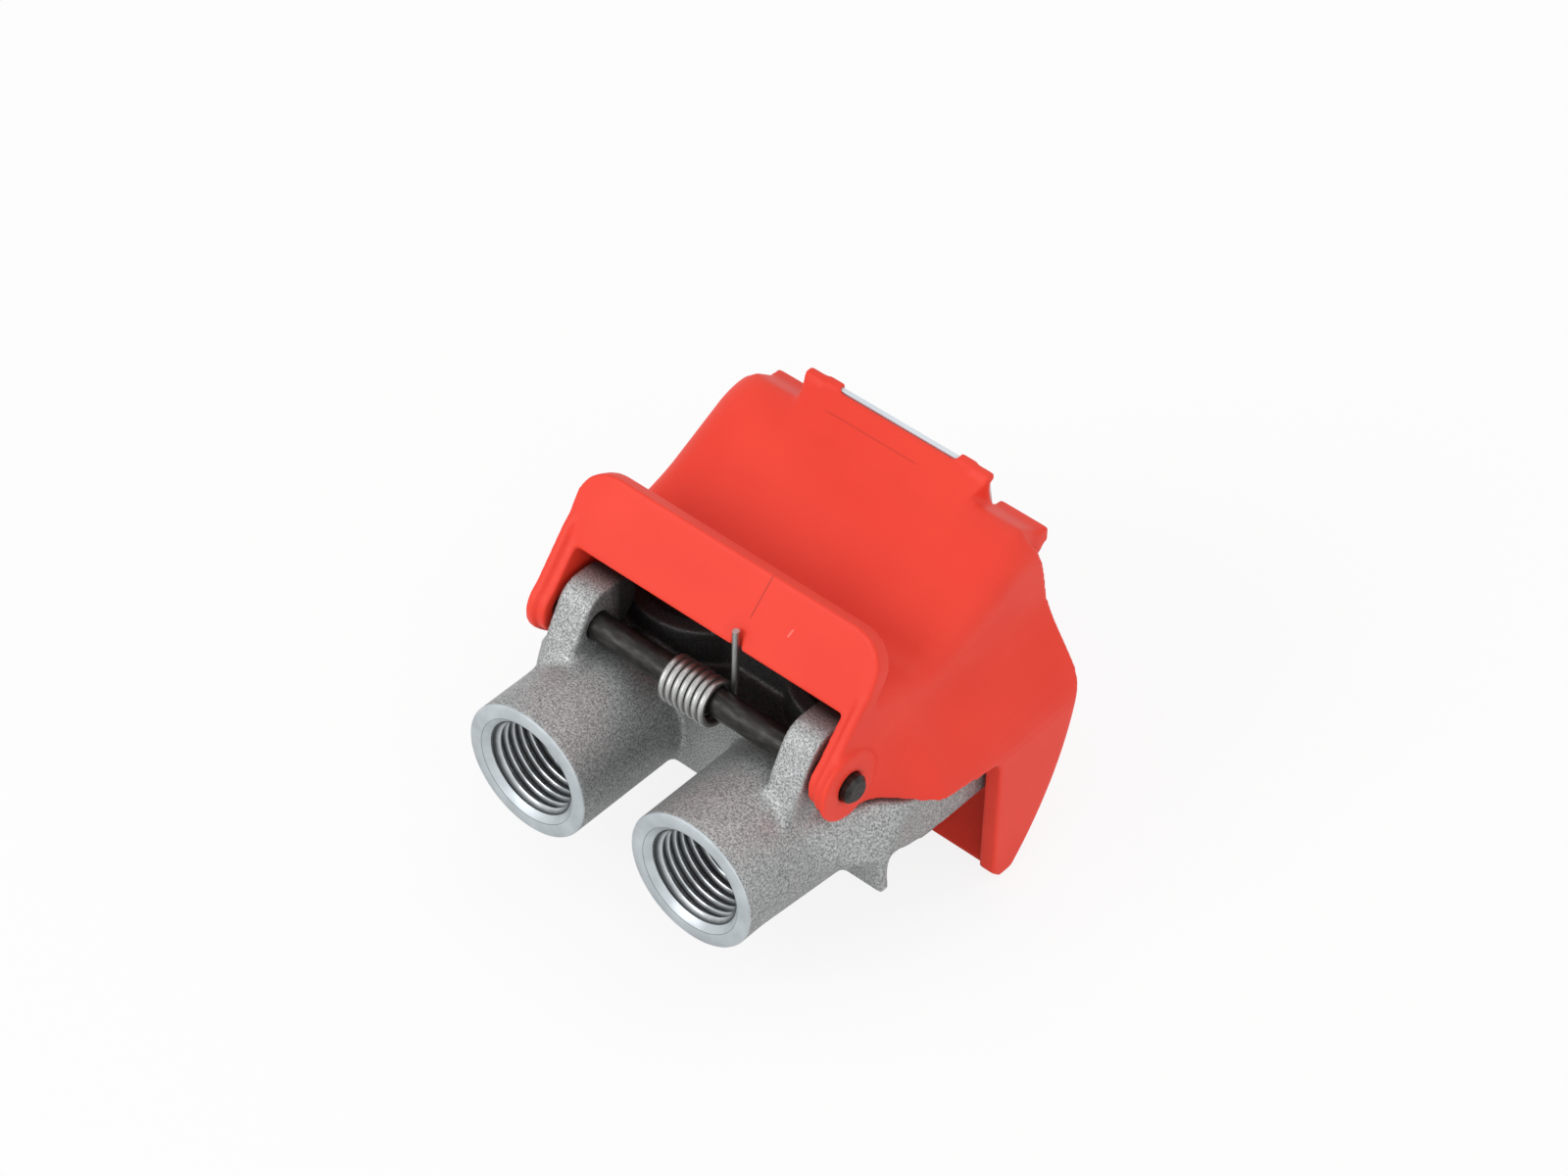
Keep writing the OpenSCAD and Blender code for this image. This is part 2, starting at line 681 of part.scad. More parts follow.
module face_seal(side) {
    outer = face_seal_d / 2;
    inner = outer - seal_wall;
    top = mating_z + face_seal_proud;
    color("#262626") at_valve(side) rotate_extrude() polygon(rounded([[inner, seal_seat_z + 0.05, 0.3],
        [outer, seal_seat_z + 0.05, 0.2], [outer, top - 1.2, 0.2], [outer - 0.7, top, 0.5],
        [inner, top, 0.5]]));
}

// Plunger: a stem that the other half presses, a plate for the washer and a guide for the spring
module valve_plunger(side) {
    stem = stem_d / 2;
    plate_top = bush_bottom - seat_gap - washer_t;
    plate_bottom = plate_top - plate_t;
    tail = -chamber_floor + valve_travel + 0.4;
    color("#d8d3c4") at_valve(side) rotate_extrude() polygon(rounded([[0, tail, 0], [stem + 0.6, tail, 0.4],
        [stem + 0.6, plate_bottom, 0.4], [plate_d / 2, plate_bottom, 0.3], [plate_d / 2, plate_top, 0.3],
        [stem, plate_top, 0], [stem, mating_z + 0.4, 0.6], [0, mating_z + 0.4, 0]]));
}

module valve_washer(side) {
    top = bush_bottom - seat_gap;
    color("#2a2a2a") at_valve(side) ring(stem_d + 0.04, washer_d, top - washer_t + 0.02, top);
}

// Compression spring from the chamber's floor to the plunger's plate, with closed ends
module valve_spring(side) {
    steps = 16;
    r = valve_wire / 2;
    from = r + 0.05 - chamber_floor;
    to = bush_bottom - seat_gap - washer_t - plate_t - r - 0.05;
    turns = valve_turns + 2;
    mean = plate_d / 2 - r - 0.9;
    color("#aeb1b3") at_valve(side) wire([for (i = [0:turns * steps])
        let (t = i / steps)
        let (closed = t > turns - 1 ? 1 - 0.2 * (turns - t) : 0.2 + 0.6 * (t - 1) / valve_turns)
        let (rise = t < 1 ? 0.2 * t : closed)
        [mean * cos(360 * t), mean * sin(360 * t), from + (to - from) * rise]], r, 6);
}

body();
hinge_pin();
cover();
torsion_spring();
label_plate();
seat_bush(-1);  // left_seat_bush
seat_bush(1);  // right_seat_bush
bush_seal(-1);  // left_bush_seal
bush_seal(1);  // right_bush_seal
retaining_ring(-1);  // left_retaining_ring
retaining_ring(1);  // right_retaining_ring
face_seal(-1);  // left_face_seal
face_seal(1);  // right_face_seal
valve_plunger(-1);  // left_valve_plunger
valve_plunger(1);  // right_valve_plunger
valve_washer(-1);  // left_valve_washer
valve_washer(1);  // right_valve_washer
valve_spring(-1);  // left_valve_spring
valve_spring(1);  // right_valve_spring
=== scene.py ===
# %% [markdown]
# # A quick coupling for air brake lines
# The object is the half of the coupling that stays on the vehicle. A grey cast body carries two threaded
# ports, and a red moulded cover swings on a black pin over the valves behind them. The CAD model already
# holds every piece at its true size. This lesson gives the pieces their rounded edges, threads, wire and
# finishes, makes the casting and the cover fuller in a few places, and lights them as a studio would.

# %% Load the frame
import json
import math

import bmesh
import bpy
import numpy as np
from mathutils import Matrix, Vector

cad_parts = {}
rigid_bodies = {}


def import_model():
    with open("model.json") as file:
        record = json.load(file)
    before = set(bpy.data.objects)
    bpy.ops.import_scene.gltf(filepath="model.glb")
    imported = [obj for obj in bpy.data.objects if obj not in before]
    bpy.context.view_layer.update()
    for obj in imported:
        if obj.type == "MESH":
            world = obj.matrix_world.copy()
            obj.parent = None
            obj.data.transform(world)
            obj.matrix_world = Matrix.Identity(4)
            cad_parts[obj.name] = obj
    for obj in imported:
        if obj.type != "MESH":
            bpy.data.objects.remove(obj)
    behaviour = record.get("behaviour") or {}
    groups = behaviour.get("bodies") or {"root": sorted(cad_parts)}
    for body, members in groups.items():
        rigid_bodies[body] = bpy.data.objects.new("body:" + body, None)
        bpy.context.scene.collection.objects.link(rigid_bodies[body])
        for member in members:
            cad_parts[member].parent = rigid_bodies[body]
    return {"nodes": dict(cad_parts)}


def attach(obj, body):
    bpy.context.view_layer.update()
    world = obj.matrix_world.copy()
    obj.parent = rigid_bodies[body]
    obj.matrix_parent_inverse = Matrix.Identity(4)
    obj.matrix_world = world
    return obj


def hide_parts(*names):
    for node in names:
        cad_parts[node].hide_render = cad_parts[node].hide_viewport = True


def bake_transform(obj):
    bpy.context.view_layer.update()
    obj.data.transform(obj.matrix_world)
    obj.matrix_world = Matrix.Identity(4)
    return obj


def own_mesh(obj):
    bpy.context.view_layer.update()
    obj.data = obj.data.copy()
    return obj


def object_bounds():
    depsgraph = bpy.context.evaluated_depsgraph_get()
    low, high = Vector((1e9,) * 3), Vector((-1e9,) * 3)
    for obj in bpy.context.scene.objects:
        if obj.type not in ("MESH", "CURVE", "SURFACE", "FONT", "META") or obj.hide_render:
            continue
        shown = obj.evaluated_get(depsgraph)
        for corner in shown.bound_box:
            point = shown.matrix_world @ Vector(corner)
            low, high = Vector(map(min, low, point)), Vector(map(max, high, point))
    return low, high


for leftover in list(bpy.data.objects):
    bpy.data.objects.remove(leftover)
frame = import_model()
cad_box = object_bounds()
scene = bpy.context.scene
MM = 0.001
print("nodes:", len(frame["nodes"]), "box:", [[round(c / MM, 1) for c in corner] for corner in cad_box])

# %% [markdown]
# Three small tools serve the whole lesson. The first turns a colour as a painter writes it, in sRGB hex,
# into the linear numbers that a shader needs. The second adds a node with its settings and links, for
# shaders and geometry alike. The third starts a material and hands back its main shader.

# %% Tools for nodes
def linear(code):
    parts = [int(code[i:i + 2], 16) / 255 for i in (1, 3, 5)]
    return [c / 12.92 if c <= 0.04045 else ((c + 0.055) / 1.055) ** 2.4 for c in parts] + [1.0]


def add(tree, kind, links=None, **settings):
    made = tree.nodes.new(kind)
    for key, value in settings.items():
        setattr(made, key, value)
    for key, value in (links or {}).items():
        if isinstance(value, bpy.types.NodeSocket):
            tree.links.new(value, made.inputs[key])
        else:
            made.inputs[key].default_value = value
    return made


def finish_named(name, **sockets):
    material = bpy.data.materials.new(name)
    material.use_nodes = True
    shader = material.node_tree.nodes["Principled BSDF"]
    for key, value in sockets.items():
        shader.inputs[key.replace("_", " ")].default_value = value
    return material, material.node_tree, shader


print("the grey #808080 is", round(linear("#808080")[0], 3), "in linear light")

# %% [markdown]
# ## Finishes of the metal pieces
# The body is die-cast aluminium, blasted with fine shot. The blast leaves pits about 0.3 mm wide, each
# facing its own way, so the surface sparkles in light and dark specks. Two noises make it: one at the
# size of the pits, which moves the colour, roughness and bump, and one of several millimetres for the
# cloudy tone that a casting has. A picture could be wrapped round the body instead, but a noise in object
# coordinates has no seams and keeps its size on every face.

# %% Cast aluminium
PIT = 0.3 * MM
CLOUD = 6 * MM
PIT_DEPTH = 0.1 * MM
cast, tree, shader = finish_named("die_cast_aluminium_shot_blasted", Metallic=0.8)
place = add(tree, "ShaderNodeTexCoord").outputs["Object"]
pits = add(tree, "ShaderNodeTexNoise", {"Vector": place, "Scale": 1 / PIT, "Detail": 3.0, "Roughness": 0.6})
cloud = add(tree, "ShaderNodeTexNoise", {"Vector": place, "Scale": 1 / CLOUD, "Detail": 2.0})
speck = add(tree, "ShaderNodeValToRGB", {"Fac": pits.outputs["Fac"]})
speck.color_ramp.elements[0].position = 0.36
speck.color_ramp.elements[0].color = linear("#7C7E7E")
speck.color_ramp.elements[1].position = 0.66
speck.color_ramp.elements[1].color = linear("#C4C6C6")
tone = add(tree, "ShaderNodeMapRange", {"Value": cloud.outputs["Fac"], "To Min": 0.9, "To Max": 1.06})
toned = add(tree, "ShaderNodeMix",
            {"Factor": 1.0, "A": speck.outputs["Color"], "B": tone.outputs["Result"]},
            data_type="RGBA", blend_type="MULTIPLY")
rough = add(tree, "ShaderNodeMapRange", {"Value": pits.outputs["Fac"], "To Min": 0.68, "To Max": 0.42})
bump = add(tree, "ShaderNodeBump",
           {"Height": pits.outputs["Fac"], "Strength": 0.75, "Distance": PIT_DEPTH})
tree.links.new(rough.outputs["Result"], shader.inputs["Roughness"])
tree.links.new(bump.outputs["Normal"], shader.inputs["Normal"])
print("pits of", round(PIT / MM, 2), "mm on", cast.name)

# %% [markdown]
# In the photograph the pocket behind the pin is nearly black, for it lies in deep shade under the cover, so
# there the finish is painted dark as painted shade. A second material would end in a hard line. Instead four
# fades, one for each side of the pocket, are multiplied: where all of them are full, most of the metal is
# painted dark.

# %% Painted shade in the pocket
POCKET_SHADE_SHARE = 0.8
axes = add(tree, "ShaderNodeSeparateXYZ", {"Vector": place})
wide = add(tree, "ShaderNodeMath", {0: axes.outputs["X"]}, operation="ABSOLUTE")
# for each side: the measure, where the painted shade starts, and where it is full, in millimetres
pocket_sides = ((axes.outputs["Y"], 20.6, 23), (axes.outputs["Y"], 37, 31),
                (axes.outputs["Z"], 1, 5), (wide.outputs[0], 29, 24))
pocket_shade = POCKET_SHADE_SHARE
for value, unshaded, full in pocket_sides:
    fade = add(tree, "ShaderNodeMapRange", {"Value": value, "From Min": unshaded * MM, "From Max": full * MM})
    darkened = add(tree, "ShaderNodeMath", {0: fade.outputs["Result"], 1: pocket_shade}, operation="MULTIPLY")
    pocket_shade = darkened.outputs[0]
# painted shade: the metal's colour turns nearly black deep in the pocket
shaded_pocket = add(tree, "ShaderNodeMix",
              {"Factor": pocket_shade, "A": toned.outputs["Result"], "B": linear("#211D1C")}, data_type="RGBA")
tree.links.new(shaded_pocket.outputs["Result"], shader.inputs["Base Color"])
print("the pocket fades in from", len(pocket_sides), "sides")

# %% [markdown]
# The ends of the ports are turned on a lathe. The tool leaves rings round each port's axis, far finer than
# a pixel, so they are drawn 0.16 mm apart to show at all. Modelled grooves would take very many faces and
# only catch the light, so a bump draws them. Both ports share one finish: the distance from the axis is
# worked out from the absolute X, because the ports lie the same way to either side.

# %% Turned aluminium
PORT_X = 15.85 * MM
RING_GAP = 0.16 * MM
STAIN = 4 * MM


def from_port_axis(tree, place):
    axes = add(tree, "ShaderNodeSeparateXYZ", {"Vector": place})
    side = add(tree, "ShaderNodeMath", {0: axes.outputs["X"]}, operation="ABSOLUTE")
    across = add(tree, "ShaderNodeMath", {0: side.outputs[0], 1: PORT_X}, operation="SUBTRACT")
    flat = add(tree, "ShaderNodeCombineXYZ", {"X": across.outputs[0], "Y": axes.outputs["Z"]})
    return add(tree, "ShaderNodeVectorMath", {0: flat.outputs[0]}, operation="LENGTH").outputs["Value"]


turned_metal, tree, shader = finish_named("turned_aluminium", Metallic=0.85, Roughness=0.45)
place = add(tree, "ShaderNodeTexCoord").outputs["Object"]
radius = from_port_axis(tree, place)
turns = add(tree, "ShaderNodeMath", {0: radius, 1: 2 * math.pi / RING_GAP}, operation="MULTIPLY")
ridges = add(tree, "ShaderNodeMath", {0: turns.outputs[0]}, operation="SINE")
stain = add(tree, "ShaderNodeTexNoise", {"Vector": place, "Scale": 1 / STAIN, "Detail": 3.0})
shade = add(tree, "ShaderNodeValToRGB", {"Fac": stain.outputs["Fac"]})
shade.color_ramp.elements[0].position = 0.3
shade.color_ramp.elements[0].color = linear("#B2B9BD")
shade.color_ramp.elements[1].position = 0.7
shade.color_ramp.elements[1].color = linear("#C8CFD3")
bump = add(tree, "ShaderNodeBump", {"Height": ridges.outputs[0], "Strength": 0.12, "Distance": 0.03 * MM})
tree.links.new(shade.outputs["Color"], shader.inputs["Base Color"])
tree.links.new(bump.outputs["Normal"], shader.inputs["Normal"])
print("turning rings", round(RING_GAP / MM, 2), "mm apart on", turned_metal.name)

# %% [markdown]
# The tap that cuts the thread leaves bright crests and rougher roots. The roots are also painted darker, as
# painted shade in the grooves, and a noise adds smears of cutting oil. Two materials would need the faces
# sorted, so the same distance from the axis, about 7.2 mm at a crest and 8 mm at a root, picks the colour and
# the roughness of one.

# %% Tapped aluminium
OIL_SPOT = 1.2 * MM
CREST = 7.25 * MM
ROOT = 7.95 * MM
tapped_metal, tree, shader = finish_named("tapped_aluminium_oil_and_root_shade", Metallic=0.9)
place = add(tree, "ShaderNodeTexCoord").outputs["Object"]
radius = from_port_axis(tree, place)
oil = add(tree, "ShaderNodeTexNoise", {"Vector": place, "Scale": 1 / OIL_SPOT, "Detail": 3.0})
# painted shade: the colour darkens from crest to root, and the oil noise adds random smears on top
groove = add(tree, "ShaderNodeMapRange", {"Value": radius, "From Min": CREST, "From Max": ROOT})
oil_and_root_shade = add(tree, "ShaderNodeMath", {0: oil.outputs["Fac"], 1: 0.35, 2: groove.outputs["Result"]},
            operation="MULTIPLY_ADD")
shade = add(tree, "ShaderNodeValToRGB", {"Fac": oil_and_root_shade.outputs[0]})
shade.color_ramp.elements[0].position = 0.2
shade.color_ramp.elements[0].color = linear("#C4C9CB")
shade.color_ramp.elements[1].position = 0.95
shade.color_ramp.elements[1].color = linear("#55585A")
rough = add(tree, "ShaderNodeMapRange", {"Value": groove.outputs["Result"], "To Min": 0.24, "To Max": 0.5})
tree.links.new(shade.outputs["Color"], shader.inputs["Base Color"])
tree.links.new(rough.outputs["Result"], shader.inputs["Roughness"])
print("crests and roots on", tapped_metal.name)

# %% [markdown]
# The pin is blackened steel, rubbed a little brighter where the cover turns on it. The wire of the springs
# is drawn and left bright. Smaller metal pieces under the cover are a brass bush and a phosphated ring.
# They differ in colour, gloss and the size of their wear, not in kind, so one function makes all four from
# a noise. On the pin the noise is stretched, because a drawn bar has its marks lengthways.

# %% Steel and brass
WEAR_DEPTH = 0.05 * MM
ALONG_X = (0.35, 1, 1)


def worn_metal(name, dark, light, shiny, dull, grain, metallic=1.0, stretch=(1, 1, 1)):
    metal, tree, shader = finish_named(name, Metallic=metallic)
    place = add(tree, "ShaderNodeTexCoord").outputs["Object"]
    drawn = add(tree, "ShaderNodeMapping", {"Vector": place, "Scale": stretch})
    wear = add(tree, "ShaderNodeTexNoise", {"Vector": drawn.outputs[0], "Scale": 1 / grain, "Detail": 5.0})
    colour = add(tree, "ShaderNodeValToRGB", {"Fac": wear.outputs["Fac"]})
    colour.color_ramp.elements[0].position = 0.42
    colour.color_ramp.elements[0].color = linear(dark)
    colour.color_ramp.elements[1].position = 0.72
    colour.color_ramp.elements[1].color = linear(light)
    rough = add(tree, "ShaderNodeMapRange", {"Value": wear.outputs["Fac"], "To Min": dull, "To Max": shiny})
    bump = add(tree, "ShaderNodeBump",
               {"Height": wear.outputs["Fac"], "Strength": 0.15, "Distance": WEAR_DEPTH})
    tree.links.new(colour.outputs["Color"], shader.inputs["Base Color"])
    tree.links.new(rough.outputs["Result"], shader.inputs["Roughness"])
    tree.links.new(bump.outputs["Normal"], shader.inputs["Normal"])
    return metal


black_steel = worn_metal("blackened_steel_rubbed", "#272624", "#413F3D", shiny=0.32, dull=0.48,
                         grain=0.8 * MM, metallic=0.7, stretch=ALONG_X)
spring_steel = worn_metal("drawn_spring_steel", "#ABACAA", "#C6C7C5", shiny=0.34, dull=0.44, grain=0.25 * MM)
ring_steel = worn_metal("phosphated_steel", "#4E5051", "#6E7071", shiny=0.45, dull=0.6, grain=0.3 * MM)
brass = worn_metal("turned_brass", "#A98A45", "#CDB06A", shiny=0.22, dull=0.35, grain=0.6 * MM)
print("metals:", [m.name for m in (black_steel, spring_steel, ring_steel, brass)])

# %% [markdown]
# ## Finishes of plastic and rubber
# The cover is moulded in a red glass-filled nylon. Its mould was textured, which shows as a satin skin with
# a grain of about 0.4 mm. The seals are matt black rubber, the plunger is a pale acetal and the label plate
# is a smooth white sheet, left blank. Each is one plain colour that drifts a little where the plastic
# flowed, with a fine bump for its skin, so again one function makes them all.

# %% Plastics and rubber
FLOW = 14 * MM
SKIN_DEPTH = 0.05 * MM


def moulded_plastic(name, low, high, rough, grain, strength, level=0.5):
    plastic, tree, shader = finish_named(name, Roughness=rough, Specular_IOR_Level=level)
    place = add(tree, "ShaderNodeTexCoord").outputs["Object"]
    skin = add(tree, "ShaderNodeTexNoise", {"Vector": place, "Scale": 1 / grain, "Detail": 2.0})
    flow = add(tree, "ShaderNodeTexNoise", {"Vector": place, "Scale": 1 / FLOW, "Detail": 2.0})
    colour = add(tree, "ShaderNodeValToRGB", {"Fac": flow.outputs["Fac"]})
    colour.color_ramp.elements[0].position = 0.3
    colour.color_ramp.elements[0].color = linear(low)
    colour.color_ramp.elements[1].position = 0.7
    colour.color_ramp.elements[1].color = linear(high)
    bump = add(tree, "ShaderNodeBump",
               {"Height": skin.outputs["Fac"], "Strength": strength, "Distance": SKIN_DEPTH})
    tree.links.new(colour.outputs["Color"], shader.inputs["Base Color"])
    tree.links.new(bump.outputs["Normal"], shader.inputs["Normal"])
    return plastic


red_nylon = moulded_plastic("glass_filled_nylon_moulded_red", "#EA3A27", "#F0412D", rough=0.5,
                            grain=0.4 * MM, strength=0.25, level=0.35)
rubber = moulded_plastic("nitrile_rubber_matt", "#1D1D1D", "#2A2A2A", rough=0.7,
                         grain=0.3 * MM, strength=0.3, level=0.3)
acetal = moulded_plastic("acetal_turned", "#D3CDBB", "#DED9CA", rough=0.35, grain=0.3 * MM, strength=0.1)
label_sheet = moulded_plastic("polycarbonate_sheet_white", "#CDD6DE", "#DCE3E9", rough=0.25,
                              grain=0.6 * MM, strength=0.05)
print("plastics:", [m.name for m in (red_nylon, rubber, acetal, label_sheet)])

# %% [markdown]
# Two fine dark lines on the cover are painted shade, the shade of creases far too shallow to model: one up
# the lip from the spring's notch, one across the slope below the label. A short pale streak lies beside the
# first.
# The colour draws all three. Each mark is a thin strip on a plane, found from the object coordinates by three
# measures: along the strip, across it and off its plane.

# %% A strip on a plane
HALF_WIDTH = 0.2
OFF_PLANE = 0.9


def strip(tree, place, first, last, off):
    length = np.linalg.norm(last - first)
    along = (last - first) / length
    measures = ((along, (first + last) / 2, 0.42 * length, 0.5 * length),
                (np.cross(along, off), first, 0.3 * HALF_WIDTH, HALF_WIDTH),
                (off, first, 0.6, OFF_PLANE))
    mask = 1.0
    for axis, middle, inner, outer in measures:
        away = add(tree, "ShaderNodeVectorMath", {0: place, 1: middle * MM}, operation="SUBTRACT")
        reach = add(tree, "ShaderNodeVectorMath", {0: away.outputs[0], 1: axis}, operation="DOT_PRODUCT")
        size = add(tree, "ShaderNodeMath", {0: reach.outputs["Value"]}, operation="ABSOLUTE")
        fade = add(tree, "ShaderNodeMapRange",
                   {"Value": size.outputs[0], "From Min": outer * MM, "From Max": inner * MM})
        kept = add(tree, "ShaderNodeMath", {0: fade.outputs["Result"], 1: mask}, operation="MULTIPLY")
        mask = kept.outputs[0]
    return mask


print("strips are", 2 * HALF_WIDTH, "mm wide")

# %% Marks on the cover
LIP_FOOT = np.array([0, 20.5, 23.6])
UP_LIP = np.array([0, 0.4772, 0.8788])
OFF_LIP = np.array([0, -0.8788, 0.4772])
PAD_EDGE = np.array([0, 61.92, 36.0])
UP_PAD = np.array([0, 0.8870, 0.4617])
OFF_PAD = np.array([0, -0.4617, 0.8870])
ACROSS = np.array([1, 0, 0])


def on_lip(up, across):
    return LIP_FOOT + up * UP_LIP + across * ACROSS


def on_pad(up, across):
    return PAD_EDGE + up * UP_PAD + across * ACROSS


# for each mark: its two ends, the way off its plane, its colour and how much of that colour shows
# the first two marks are painted shade of fine creases; the third is a short pale streak
marks = ((on_lip(5.4, 6.1), on_lip(13.2, 7.25), OFF_LIP, "#8E2016", 0.5),
         (on_pad(-3.8, -11.5), on_pad(-3.8, 7), OFF_PAD, "#A82A1D", 0.4),
         (on_lip(6.1, 12.8), on_lip(7.6, 13.3), OFF_LIP, "#F7A79B", 0.4))
tree = red_nylon.node_tree
shader = tree.nodes["Principled BSDF"]
place = add(tree, "ShaderNodeTexCoord").outputs["Object"]
colour = shader.inputs["Base Color"].links[0].from_socket
for first, last, off, code, share in marks:
    mask = strip(tree, place, first, last, off)
    part = add(tree, "ShaderNodeMath", {0: mask, 1: share}, operation="MULTIPLY").outputs[0]
    marked = add(tree, "ShaderNodeMix", {"Factor": part, "A": colour, "B": linear(code)}, data_type="RGBA")
    colour = marked.outputs["Result"]
tree.links.new(colour, shader.inputs["Base Color"])
print("marks on the cover:", len(marks))

# %% [markdown]
# ## The body and the cover
# A casting and a moulding have no sharp edges, and the CAD solids have nothing else. Bevels are hard to
# lead round so many crossing shapes, so each solid is copied, filled with small voxels and then relaxed:
# that rounds every edge and hollow corner by about a millimetre and leaves the flat faces where they were.
# The copies stand for the CAD solids, which stay underneath for collision. A CAD mesh is loose triangles,
# so a copy is merged first, and each modifier put on it is settled into a plain mesh.

# %% Copies of the solids
MERGE = 0.0005 * MM


def merged_copy(name, node):
    mesh = frame["nodes"][node].data.copy()
    work = bmesh.new()
    work.from_mesh(mesh)
    bmesh.ops.remove_doubles(work, verts=work.verts, dist=MERGE)
    work.to_mesh(mesh)
    work.free()
    if "custom_normal" in mesh.attributes:
        mesh.attributes.remove(mesh.attributes["custom_normal"])
    piece = bpy.data.objects.new(name, mesh)
    scene.collection.objects.link(piece)
    return piece


def settled(piece):
    bpy.context.view_layer.update()
    final = bpy.data.meshes.new_from_object(piece.evaluated_get(bpy.context.evaluated_depsgraph_get()))
    piece.modifiers.clear()
    piece.data = final
    return len(final.polygons)


hood_shell = merged_copy("hood_shell", "cover")
casting = merged_copy("casting", "body")
print("faces to start from:", len(hood_shell.data.polygons), "and", len(casting.data.polygons))

# %% [markdown]
# The real pieces are a little fuller than the solids in some places and rounder in others. These forms are
# joined on or cut away before the rounding, which then melts them into the rest, so plain shapes are
# enough. A prism is an outline pushed along one axis. A hull is the skin of a cloud of points. Each lies on
# the right of the part, and is mirrored to work on the left as well.

# %% Shapes to join on or cut away
def prism(outline, axis, low, high):
    count = len(outline)
    where = "XYZ".index(axis)
    points = [tuple(np.insert(np.array(p, float), where, end) * MM) for end in (low, high) for p in outline]
    faces = [(i, (i + 1) % count, count + (i + 1) % count, count + i) for i in range(count)]
    faces += [tuple(range(count))[::-1], tuple(range(count, 2 * count))]
    mesh = bpy.data.meshes.new("tool")
    mesh.from_pydata(points, [], faces)
    return mesh


def hull(points):
    mesh = bpy.data.meshes.new("tool")
    work = bmesh.new()
    for point in points:
        work.verts.new(np.array(point) * MM)
    made = bmesh.ops.convex_hull(work, input=work.verts)
    spare = set(made["geom_interior"] + made["geom_unused"])
    bmesh.ops.delete(work, geom=list(spare), context="VERTS")
    work.to_mesh(mesh)
    work.free()
    return mesh


def worked(piece, operation, mesh, sides=("right", "left")):
    work = bmesh.new()
    work.from_mesh(mesh)
    bmesh.ops.recalc_face_normals(work, faces=work.faces)
    work.to_mesh(mesh)
    work.free()
    tool = bpy.data.objects.new("tool", mesh)
    scene.collection.objects.link(tool)
    for side in sides:
        change = piece.modifiers.new(side, "BOOLEAN")
        change.operation = operation
        change.object = tool
        faces = settled(piece)
        mesh.transform(Matrix.Diagonal((-1, 1, 1, 1)))
        mesh.flip_normals()
    bpy.data.objects.remove(tool)
    print(piece.name, operation.lower(), "leaves", faces, "faces")


# %% [markdown]
# The rounding has two parts. The first fills the whole piece with voxels, relaxes the new skin and thins it
# out. The second relaxes it further, but only inside boxes where the real piece has a large radius, and it
# fades out round them. One strong relaxing everywhere would be simpler, and would eat the thin walls.

# %% Rounding
MOST_TRIANGLES = 190000


def softened(piece, voxel, rounds):
    remesh = piece.modifiers.new("fill", "REMESH")
    remesh.mode = "VOXEL"
    remesh.voxel_size = voxel * MM
    relax = piece.modifiers.new("relax", "SMOOTH")
    relax.factor = 0.5
    relax.iterations = rounds
    faces = settled(piece)
    thin = piece.modifiers.new("thin", "DECIMATE")
    thin.ratio = min(1.0, MOST_TRIANGLES / (2 * faces))
    faces = settled(piece)
    piece.data.polygons.foreach_set("use_smooth", [True] * faces)
    print(piece.name, "has", faces, "faces")


def points_of(piece):
    place = np.empty(len(piece.data.vertices) * 3)
    piece.data.vertices.foreach_get("co", place)
    return place.reshape(-1, 3)


def eased(piece, boxes, rounds, margin):
    place = points_of(piece) / MM
    place[:, 0] = np.abs(place[:, 0])
    weight = np.zeros(len(place))
    for low, high in boxes:
        inside = np.minimum(place - low, high - place).min(axis=1)
        weight = np.maximum(weight, np.clip(inside / margin + 1, 0, 1))
    group = piece.vertex_groups.new(name="eased")
    for index in np.flatnonzero(weight):
        group.add([int(index)], float(weight[index]), "REPLACE")
    relax = piece.modifiers.new("ease", "SMOOTH")
    relax.iterations = rounds
    relax.vertex_group = group.name
    settled(piece)
    piece.vertex_groups.clear()
    print(piece.name, "eased at", int((weight > 0).sum()), "points")


print("a rounded piece keeps at most", MOST_TRIANGLES, "triangles")

# %% [markdown]
# The cover's roof runs into the rim behind it without a groove at its ends, and a small cap holds each upper
# corner of the label plate. Both are prisms, drawn in the side view as pairs of Y and Z in millimetres and
# pushed along X. The mould had large radii beside the label's pad and where the roof ends, so the shell is
# eased there. Sculpting could do this too, but boxes can be read and changed.

# %% The cover's shell
GROOVE_FILL = [(57.6, 32.4), (59.4, 32.7), (62.9, 30.1), (63.4, 27), (59.6, 28)]
PLATE_CAP = [(60.9, 35.3), (61.4, 36.38), (62.85, 36.38), (62.9, 35.2), (61.9, 34.9)]
BESIDE_PAD = ((14, 49, 27), (19.5, 59, 35))
ROOF_END = ((15, 58, 28), (26, 63, 33.2))
worked(hood_shell, "UNION", prism(GROOVE_FILL, "X", 15, 25.4))
worked(hood_shell, "UNION", prism(PLATE_CAP, "X", 13.8, 17.3))
softened(hood_shell, voxel=0.32, rounds=8)
eased(hood_shell, (BESIDE_PAD, ROOF_END), rounds=30, margin=2)

# %% [markdown]
# The casting's head has a round front corner on its upper tier, so a prism with that corner is cut away.
# The flange's lower corner is nearly square, so a small block fills it. Towards the flange the tubes swell
# a little and flare out into its end. Each of those forms is a hull between arcs on the tube, which start
# just inside its skin, and points on the flange and at the ear's foot.

